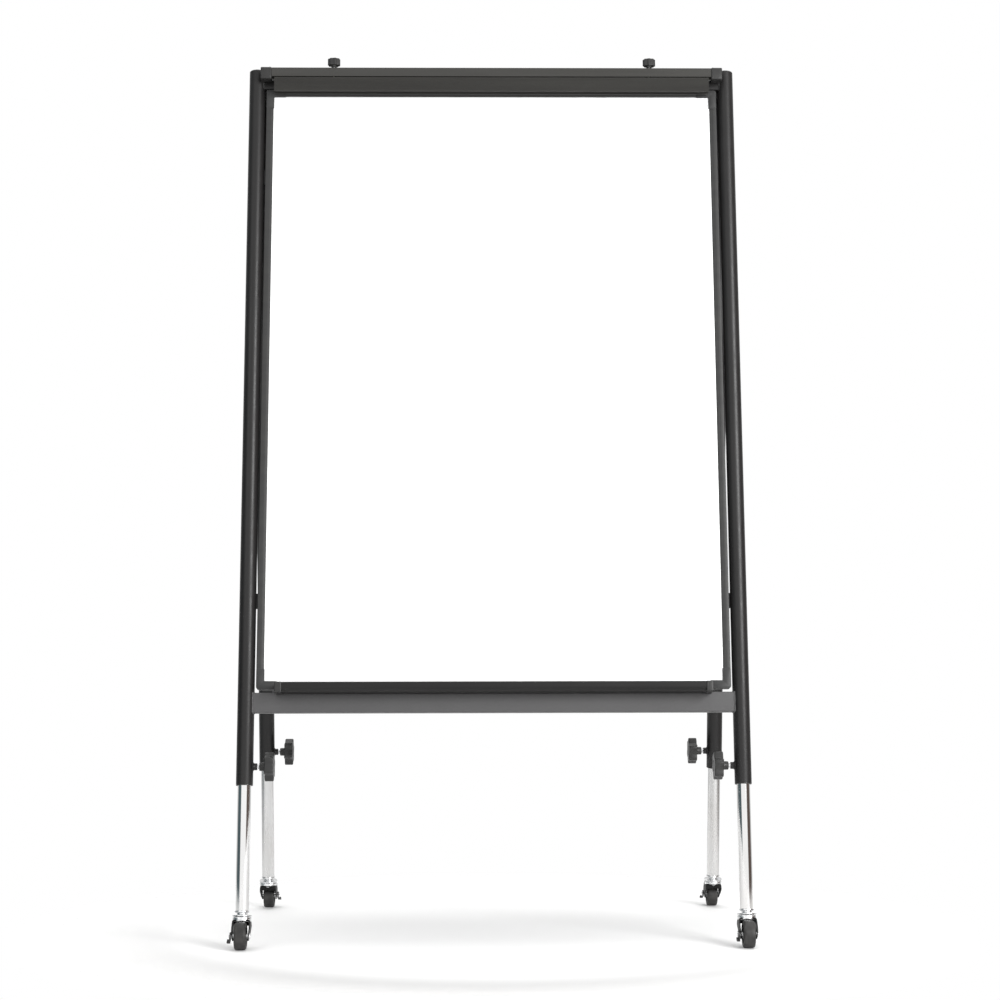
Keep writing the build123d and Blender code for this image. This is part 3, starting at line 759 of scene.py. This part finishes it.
def leg_knob_head(phase):
    """The star knob on its hub, along Z: z = 0 is the hub's face towards the tube."""
    depth = KNOB_RADIUS * KNOB_LOBE_DEPTH
    head = lobed_head(KNOB_RADIUS, KNOB_LOBES, depth, KNOB_LENGTH, 2.2, 1.6, 10.5, 144, phase)
    shifted(head, z=HUB_LENGTH)
    r, end = HUB_RADIUS, HUB_LENGTH
    hub = lathe([(AXIS, 0), (r - 1.4, 0), (r - 0.6, 0.8), (r - 0.4, end - 3.5), (r, end - 1.5),
                 (r + 1.6, end + 0.6), (r + 1.6, end + 2), (AXIS, end + 2)], 56)
    ribs = []
    for i in range(KNOB_LOBES):
        a = phase + pi / KNOB_LOBES + 2 * pi * i / KNOB_LOBES
        rib = brick((r - 1, KNOB_RADIUS * 0.62), (-0.9, 0.9), (-end - 1.5, -end + 1.6), 0.5, 2)
        ribs.append(moved(rib, Matrix.Rotation(a, 4, "Z")))
    button = shifted(lathe([(AXIS, 0), (8.4, 0), (8.4, 1.0), (7.6, 1.7), (AXIS, 2.1)], 56),
                     z=HUB_LENGTH + KNOB_LENGTH - 1.7)
    return joined([head, hub, *ribs, button])


def leg_stud():
    """The screw from inside the knob's hub, through the boss."""
    inside = BOSS_LENGTH + 0.4
    return thread(SCREW_RADIUS, -STUD_SHOWING - inside, 0.5, SCREW_PITCH)


def top_knob_head(phase):
    """The thumb knob, flattened front to back, standing on z = 0 with its collar below."""
    depth = TOP_KNOB_RADIUS * TOP_KNOB_LOBE_DEPTH
    head = lobed_head(TOP_KNOB_RADIUS, TOP_KNOB_LOBES, depth, TOP_KNOB_HEIGHT, 0.8, 0.8, 5.2, 128,
                      phase)
    moved(head, Matrix.Scale(TOP_KNOB_FLATTENING, 4, (0, 1, 0)))
    collar = lathe([(AXIS, -3.4), (5.1, -3.4), (5.5, -3.0), (5.5, 1.0), (AXIS, 1.0)], 40)
    return joined([head, collar])


# ---------------------------------------------------------------- leg and castor pieces
def leg_tube():
    """The sliding tube, its lower end turned in."""
    inner = LEG_RADIUS - LEG_WALL
    top, bottom = -LEG_END + LEG_LENGTH, -LEG_END
    profile = [(inner, bottom + 0.4), (inner, top), (LEG_RADIUS, top), (LEG_RADIUS, bottom + 0.8),
               (LEG_RADIUS - 0.4, bottom + 0.1), (inner + 0.3, bottom)]
    return shifted(lathe(profile, 96, ring=True), TUBE_X)


def castor_stem():
    """End plug, collar, necked stem and race disc; z = 0 is the tube's end."""
    plug = LEG_RADIUS - LEG_WALL - 0.05
    profile = [(AXIS, 28), (plug - 1, 28), (plug, 26), (plug, 0.05), (12.6, 0.05), (13.4, -0.3),
               (13.75, -1.2), (13.6, -2.2), (12.6, -3.0), (10.6, -3.4), (9.75, -4.2), (9.6, -6.3),
               (10.6, -7.3), (13.4, -7.8), (17.4, -8.0), (18.3, -8.3), (18.5, -9.0), (18.3, -9.7),
               (17.6, -10.0), (AXIS, -10.0)]
    return lathe(profile, 72)


def king_pin():
    head = -HOOD_TOP - 3.6
    return lathe([(AXIS, -9.5), (4, -9.5), (4, head), (6.1, head), (6.5, head - 0.5),
                  (6.2, head - 1.2), (4.5, head - 1.8), (AXIS, head - 1.8)], 40)


def crown():
    """The plated bearing cup on top of the fork."""
    r = CROWN_RADIUS
    profile = [(4.1, -10.35), (14.2, -10.35), (15.8, -10.7), (r - 0.5, -11.6), (r, -12.8),
               (r, -18.6), (r - 0.4, -19.4), (r - 1.2, -19.9), (r - 2.2, -19.9), (r - 2.2, -16.4),
               (4.1, -16.4)]
    return lathe(profile, 72, ring=True)


def cheek_x(drop):
    """The cheek's outer half width: an arc through the hood's side, the bulge and the foot."""
    a, b = Vector((HOOD_TOP, HOOD_HALF_WIDTH)), Vector((HOOD_TOP + 14, CHEEK_BULGE))
    c = Vector((AXLE_DROP + 10, CHEEK_FOOT))
    d = 2 * (a.x * (b.y - c.y) + b.x * (c.y - a.y) + c.x * (a.y - b.y))
    sq = [p.length_squared for p in (a, b, c)]
    cx = (sq[0] * (b.y - c.y) + sq[1] * (c.y - a.y) + sq[2] * (a.y - b.y)) / d
    cy = (sq[0] * (c.x - b.x) + sq[1] * (a.x - c.x) + sq[2] * (b.x - a.x)) / d
    radius = (a - Vector((cx, cy))).length
    return cy + sqrt(radius ** 2 - (drop - cx) ** 2)


def fork_edges(drop, x=0.0):
    """The leading and trailing limits of the fork's side, as trail values, at a drop."""
    ear = EAR_RADIUS
    lead = -CROWN_RADIUS + max(0.0, drop - SKIRT_DROP) * 1.34
    trail = CROWN_RADIUS - 2.4 + (drop - HOOD_TOP) * 0.68
    lead += 3.2 * (abs(x) / HOOD_HALF_WIDTH) ** 4 * max(0.0, 1 - (drop - HOOD_TOP) / 8)
    if drop > AXLE_DROP - ear:
        reach = sqrt(max(ear ** 2 - (drop - AXLE_DROP) ** 2, 0.3))
        if drop > AXLE_DROP:
            trail = min(trail, TRAIL + reach)
            lead = max(lead, TRAIL - reach)
        trail = min(trail, TRAIL + ear)
        lead = min(lead, TRAIL - 1.0 if drop > AXLE_DROP + ear - 1 else TRAIL - reach * 0.9)
    return lead, trail


def hood():
    """The fork's bent shell: a bowed U, trimmed to its side outline, with a leading skirt."""
    wall, shoulder = HOOD_WALL, HOOD_SHOULDER
    foot = AXLE_DROP + EAR_RADIUS - 0.4
    side = []
    for k in range(22):
        drop = foot + (HOOD_TOP + shoulder - foot) * k / 21
        side.append((cheek_x(drop), drop))
    edge = cheek_x(HOOD_TOP + shoulder)
    for k in range(1, 7):
        a = pi / 2 * k / 6
        side.append((edge - shoulder + shoulder * cos(a), HOOD_TOP + shoulder - shoulder * sin(a)))
    half = side + [(edge - shoulder - (edge - shoulder) * k / 4, HOOD_TOP) for k in range(1, 5)]
    outline = half + [(-x, drop) for x, drop in half[-2::-1]]
    across = 14
    grid = []
    for i, (x, drop) in enumerate(outline):
        before, after = outline[max(i - 1, 0)], outline[min(i + 1, len(outline) - 1)]
        way = Vector((after[0] - before[0], after[1] - before[1])).normalized()
        inward = Vector((-way.y, way.x))
        if inward.dot(Vector((-x, AXLE_DROP * 0.6 - drop))) < 0:
            inward.negate()
        lead, trail = fork_edges(drop, x)
        row = []
        for level in (0.0, wall):
            px, pd = x + inward.x * level, drop + inward.y * level
            row.append([(px, -(lead + (trail - lead) * j / across), -pd) for j in range(across + 1)])
        grid.append(row[0] + row[1][::-1])
    shell = loft(grid)
    skirt = []
    for k in range(7):
        drop = HOOD_TOP + 1.0 + (SKIRT_DROP - HOOD_TOP - 1.0) * k / 6
        inner_half = cheek_x(max(drop, HOOD_TOP + shoulder)) - 1.0
        row = []
        for level in (0.3, wall):
            line = []
            for j in range(17):
                x = inner_half * (2 * j / 16 - 1)
                sag = 3.0 * (1 - (x / inner_half) ** 2) if k == 6 else 0.0
                lead = fork_edges(drop, x)[0] + level
                line.append((x, -lead, -(drop - sag * 0.8)))
            row.append(line)
        skirt.append(row[0] + row[1][::-1])
    return joined([shell, loft(skirt)])


def axle(lever_side):
    """A riveted axle: domed head on one side, nut on the lever's side."""
    far = CHEEK_BULGE - 0.4
    near = LEVER_INNER + LEVER_THICKNESS + 0.3
    head = [(AXIS, far + 2.2), (3.0, far + 2.0), (5.0, far + 1.1), (5.5, far + 0.2),
            (5.5, far - 0.6), (AXLE_RADIUS, far - 0.7)]
    tail = [(AXLE_RADIUS, -near + 0.1), (5.4, -near), (5.4, -near - 0.7), (4.6, -near - 1.35),
            (AXIS, -near - 1.4)]
    pin = on_x(lathe(tail[::-1] + head[::-1], 40), 0, -TRAIL, -AXLE_DROP)
    return pin if lever_side < 0 else mirrored(pin)


def wheel():
    """Moulded wheel: crowned tread, rounded shoulders, sunk web with a hub."""
    half, rim = WHEEL_HALF_WIDTH, WHEEL_RADIUS
    right = [(AXLE_RADIUS + 0.1, half - 0.8), (7.4, half - 0.8), (8.0, half - 1.3),
             (8.3, half - 4.0), (9.2, half - 4.6), (16.6, half - 4.4), (17.6, half - 3.9),
             (18.0, half - 1.6), (18.7, half - 0.8), (20.0, half - 0.2), (21.6, half),
             (23.0, half - 0.35), (24.1, half - 1.3), (24.75, half - 2.8), (24.95, half - 5),
             (rim, half - 8), (rim, 0)]
    profile = right + [(r, -h) for r, h in right[-2::-1]]
    body = lathe(profile, 96, ring=True)
    spokes = []
    for side in (-1, 1):
        for i in range(5):
            a = 2 * pi * i / 5
            rib = brick((8.0, 17.8), (-1.1, 1.1), (-(half - 1.6), -(half - 5.0)), 0.5, 2)
            if side < 0:
                rib = moved(rib, Matrix.Scale(-1, 4, (0, 0, 1)))
            spokes.append(moved(rib, Matrix.Rotation(a, 4, "Z")))
    return on_x(joined([body, *spokes]), 0, -TRAIL, -AXLE_DROP)


def brake_lever(lever_side):
    """A hub on the axle's end, an arm and a ribbed foot tab that stands out sideways."""
    outer = LEVER_INNER + LEVER_THICKNESS
    bore = AXLE_RADIUS + 0.1
    hub = on_x(lathe([(bore, LEVER_INNER), (7.2, LEVER_INNER), (7.5, LEVER_INNER + 0.3),
                      (7.5, outer - 0.5), (7.0, outer), (bore, outer)], 48, ring=True))
    hub = moved(hub, Matrix.Scale(-1, 4, (1, 0, 0)))
    side = rounded([(-18, -4, 1.5), (-5.6, -4.6, 1), (-5.6, 4.6, 1), (-18, 3.6, 2.0)])
    arm = extrude(side, -outer + 0.02, -LEVER_INNER - 0.02)
    tab = brick((-24.0, -LEVER_INNER), (-18, -8), (0.6, 4.0), 0.8, 3)
    ribs = [brick((-23.6, -LEVER_INNER - 0.6), (y, y + 0.9), (0.1, 1.4), 0.25, 2)
            for y in (-16.9, -15.1, -13.3, -11.5)]
    turned = moved(joined([hub, arm, tab, *ribs]), Matrix.Rotation(radians(LEVER_TURN), 4, "X"))
    lever = shifted(turned, 0, -TRAIL, -AXLE_DROP)
    return lever if lever_side < 0 else mirrored(lever)


# ---------------------------------------------------------------- assembly
def build_frame(end):
    place = PLACES[end]
    body = f"{end}_frame"
    tubes = both_sides(joined([tube(), boss(), *board_tabs()]))
    names = ("left", "right") if end == "front" else ("right", "left")
    for name, side, bm in zip(names, ("left", "right"), tubes):
        finish_piece(f"{end}_main_tube_{name}", bm, place, body, PAINT,
                     [f"{end}_tube_{side}"])
    finish_piece(f"{end}_caps", joined(both_sides(tube_cap())), place, body, PLASTIC,
                 [f"{end}_tube_caps"])
    finish_piece(f"{end}_bushes", joined(both_sides(leg_bush())), place, body, PLASTIC,
                 [f"{end}_leg_bushes"])
    spacers = [brick((x - SPACER_HALF_WIDTH, x + SPACER_HALF_WIDTH),
                     (RAIL_BACK, UPPER_BAR_DEPTH[0]), SPACER_DOWN, 0.6) for x in SPACERS]
    # The lower crossbar and its welds take the lighter copy of the frame paint, a painted highlight; the
    # upper crossbar keeps the plain frame paint.
    for label, span, depth, paint in (("lower", LOWER_BAR, LOWER_BAR_DEPTH, BAR_PAINT_WITH_PAINTED_HIGHLIGHT),
                                      ("upper", UPPER_BAR, UPPER_BAR_DEPTH, PAINT)):
        shapes = [crossbar(span, depth)] + (spacers if (end, label) == ("front", "upper") else [])
        finish_piece(f"{end}_{label}_bar", joined(shapes), place, body, paint,
                     [f"{end}_{label}_crossbar"])
        finish_piece(f"{end}_{label}_welds", joined(both_sides(weld_bead(span, depth))), place,
                     body, paint)
    finish_piece(f"{end}_panel", panel(), place, body, [ENAMEL, BACKING],
                 [f"{end}_board_panel"])
    finish_piece(f"{end}_stiles", joined(both_sides(stile())), place, body, PROFILE,
                 [f"{end}_board_profiles"], crease=30)
    finish_piece(f"{end}_head_and_foot", joined(head_and_foot()), place, body, PROFILE,
                 [f"{end}_board_profiles"], crease=30)
    corners = joined([c for top in (True, False) for c in both_sides(corner_piece(top))])
    finish_piece(f"{end}_corner_pieces", corners, place, body, CORNER_PLASTIC,
                 [f"{end}_board_corners"])
    finish_piece(f"{end}_tray", pen_tray(), place, body, TRAY_FINISH,
                 [f"{end}_pen_tray"], crease=30)
    finish_piece(f"{end}_tray_caps", joined(both_sides(tray_cap())), place, body, PLASTIC,
                 [f"{end}_tray_end_caps"])
    dress(frame["nodes"][f"{end}_hinge_leaves"], PAINT, 0.5)


def dress(node, material, bevel=0.0):
    """Gives a CAD node that stays visible its finish and softer edges."""
    node.data.materials.clear()
    node.data.materials.append(material)
    if bevel:
        soften(node, bevel)


def build_paper_clamp():
    place = PLACES["front"]
    dress(frame["nodes"]["clamp_rail"], RAIL_FINISH, 0.6)
    finish_piece("rail_caps", joined(both_sides(rail_cap())), place, "front_frame", PLASTIC,
                 ["rail_end_caps"])
    finish_piece("ribbed_plate", clamp_plate(), place, "clamp_plate", CLAMP_FINISH,
                 ["clamp_plate"], crease=25)
    finish_piece("pivot_rod", pivot_rod(), place, "clamp_plate", CLAMP_FINISH)
    for side, sign, phase in (("left", -1, 0.2), ("right", 1, 0.75)):
        spot = place @ Matrix.Translation((sign * TOP_SCREW_X, TOP_SCREW_Y, -TOP_KNOB_BOTTOM))
        knob = f"clamp_knob_{side}"
        finish_piece(f"thumb_knob_{side}", top_knob_head(phase), spot, knob, PLASTIC,
                     [knob])
        finish_piece(f"thumb_screw_{side}",
                     thread(TOP_SCREW_RADIUS, -20.2, -3.2, TOP_SCREW_PITCH, 24), spot, knob, ZINC)
        dress(frame["nodes"][f"clamp_screw_tip_{side}"], NYLON)


def build_corner(end, side):
    sign = {"left": -1, "right": 1}[side] * (1 if end == "front" else -1)
    key = f"{end}_{side}"
    place = PLACES[end]
    turn = Matrix.Scale(sign, 4, (1, 0, 0))
    plate = CHROME if end == "front" else SATIN
    finish_piece(f"inner_tube_{key}", leg_tube(), place @ turn, f"leg_{key}", plate,
                 [f"leg_tube_{key}"])

    face = TUBE_X - TUBE_RADIUS - BOSS_LENGTH - STUD_SHOWING
    inwards = Matrix.Rotation(-pi / 2, 4, "Y")
    spot = place @ turn @ Matrix.Translation((face, 0, -SCREW_DOWN)) @ inwards
    finish_piece(f"star_knob_{key}", leg_knob_head(0.35 + 0.3 * sign), spot,
                 f"leg_knob_{key}", PLASTIC, [f"leg_knob_{key}"])
    finish_piece(f"star_screw_{key}", leg_stud(), spot, f"leg_knob_{key}", ZINC)
    dress(frame["nodes"][f"leg_screw_pad_{key}"], NYLON)

    spot = place @ Matrix.Translation((sign * TUBE_X, 0, -LEG_END))
    lever_side = -1 if end == "front" else -sign
    finish_piece(f"stem_{key}", joined([castor_stem(), king_pin()]), spot, f"leg_{key}", ZINC,
                 [f"castor_stem_{key}"])
    finish_piece(f"crown_{key}", crown(), spot, f"castor_{key}", ZINC)
    finish_piece(f"hood_{key}", hood(), spot, f"castor_{key}", HOOD_FINISH,
                 [f"castor_fork_{key}"])
    finish_piece(f"axle_{key}", axle(lever_side), spot, f"castor_{key}", ZINC)
    finish_piece(f"wheel_{key}", wheel(), spot, f"wheel_{key}", TREAD,
                 [f"castor_wheel_{key}"])
    finish_piece(f"lever_{key}", brake_lever(lever_side), spot, f"brake_{key}", PLASTIC,
                 [f"brake_lever_{key}"])


# ---------------------------------------------------------------- camera, light and floor
CAMERA_LENS = 83.47
CAMERA_SPOT = (-0.0588, -4.6352, 0.6056)
CAMERA_TURN = (90 + 2.9685, 0.1078, -0.9172)
FLOOR_RADIUS = 1.1
FLOOR_THICKNESS = 0.02
FLOOR_SIDES = 96


def make_camera():
    """A low viewpoint, square on, a shade left of the middle."""
    camera = bpy.data.cameras.new("camera")
    camera.lens = CAMERA_LENS
    camera.sensor_width = 36.0
    camera.clip_start = 0.1
    camera.clip_end = 100
    eye = bpy.data.objects.new("camera", camera)
    eye.location = CAMERA_SPOT
    eye.rotation_mode = "XYZ"
    eye.rotation_euler = [radians(a) for a in CAMERA_TURN]
    bpy.context.scene.collection.objects.link(eye)
    bpy.context.scene.camera = eye


def area_light(name, spot, aim, size, power):
    lamp = bpy.data.lights.new(name, "AREA")
    lamp.shape = "RECTANGLE"
    lamp.size, lamp.size_y = size
    lamp.energy = power
    holder = bpy.data.objects.new(name, lamp)
    holder.location = spot
    holder.rotation_mode = "QUATERNION"
    holder.rotation_quaternion = (Vector(aim) - Vector(spot)).to_track_quat("-Z", "Y")
    holder.visible_camera = False
    bpy.context.scene.collection.objects.link(holder)


def make_world(strength=1.15):
    """A white room with a darker wall to each side; the camera sees plain white."""
    world = bpy.data.worlds.new("studio")
    bpy.context.scene.world = world
    world.use_nodes = True
    tree = world.node_tree
    tree.nodes.clear()

    def math(operation, first, second=None):
        node = tree.nodes.new("ShaderNodeMath")
        node.operation = operation
        for socket, value in zip(node.inputs, (first, second)):
            if isinstance(value, (int, float)):
                socket.default_value = value
            elif value is not None:
                tree.links.new(value, socket)
        return node.outputs[0]

    def blend(factor, first, second):
        node = tree.nodes.new("ShaderNodeMix")
        node.data_type = "RGBA"
        tree.links.new(factor, node.inputs[0])
        for socket, value in ((node.inputs[6], first), (node.inputs[7], second)):
            if isinstance(value, tuple):
                socket.default_value = value
            else:
                tree.links.new(value, socket)
        return node.outputs[2]

    split = tree.nodes.new("ShaderNodeSeparateXYZ")
    tree.links.new(tree.nodes.new("ShaderNodeTexCoord").outputs["Generated"], split.inputs[0])
    x, y, z = split.outputs
    turn = math("ARCTAN2", x, math("MULTIPLY", y, -1.0))
    ramp = tree.nodes.new("ShaderNodeValToRGB")
    tree.links.new(math("ADD", math("DIVIDE", turn, 2 * pi), 0.5), ramp.inputs[0])
    back, front = (0.6, 0.6, 0.6), (1.0, 1.0, 1.0)
    left, right = (0.08, 0.11, 0.12), (0.11, 0.085, 0.075)
    stops = [(-180, back), (-118, back), (-108, left), (-50, left), (-42, front), (43, front),
             (51, right), (108, right), (118, back), (180, back)]
    elements = ramp.color_ramp.elements
    while len(elements) < len(stops):
        elements.new(0.5)
    for element, (angle, colour) in zip(elements, stops):
        element.position = 0.5 + angle / 360
        element.color = (*colour, 1)
    height = tree.nodes.new("ShaderNodeMapRange")
    height.inputs["From Min"].default_value = 0.4
    height.inputs["From Max"].default_value = 0.6
    tree.links.new(math("ABSOLUTE", z), height.inputs["Value"])
    room = blend(height.outputs["Result"], ramp.outputs[0], (0.9, 0.9, 0.9, 1))
    seen = 1 / strength
    path = tree.nodes.new("ShaderNodeLightPath")
    shown = blend(path.outputs["Is Camera Ray"], room, (seen, seen, seen, 1))
    glow = tree.nodes.new("ShaderNodeBackground")
    glow.inputs["Strength"].default_value = strength
    tree.links.new(shown, glow.inputs["Color"])
    tree.links.new(glow.outputs[0], tree.nodes.new("ShaderNodeOutputWorld").inputs[0])


def make_studio():
    angles = [2 * pi * i / FLOOR_SIDES for i in range(FLOOR_SIDES)]
    rim = [(FLOOR_RADIUS * cos(a), FLOOR_RADIUS * sin(a)) for a in angles]
    disc = extrude(rim, -FLOOR_THICKNESS, 0, "z")
    data = bpy.data.meshes.new("floor")
    disc.to_mesh(data)
    disc.free()
    data.materials.append(floor_surface())
    slab = bpy.data.objects.new("floor", data)
    bpy.context.scene.collection.objects.link(slab)
    make_world()
    area_light("key", (2.6, -3.3, 1.7), (0, 0, 0.9), (1.7, 2.6), 190)
    area_light("fill", (-3.0, -3.0, 2.0), (0, 0, 0.8), (2.0, 2.2), 10)
    area_light("top", (0, 0.5, 4.2), (0, 0, 0.5), (3.0, 3.0), 60)
    bpy.context.scene.view_settings.view_transform = "Standard"


make_camera()
for frame_end in ("front", "rear"):
    build_frame(frame_end)
    for frame_side in ("left", "right"):
        build_corner(frame_end, frame_side)
dress(frame["nodes"]["hinge_pins"], ZINC)
build_paper_clamp()
make_studio()
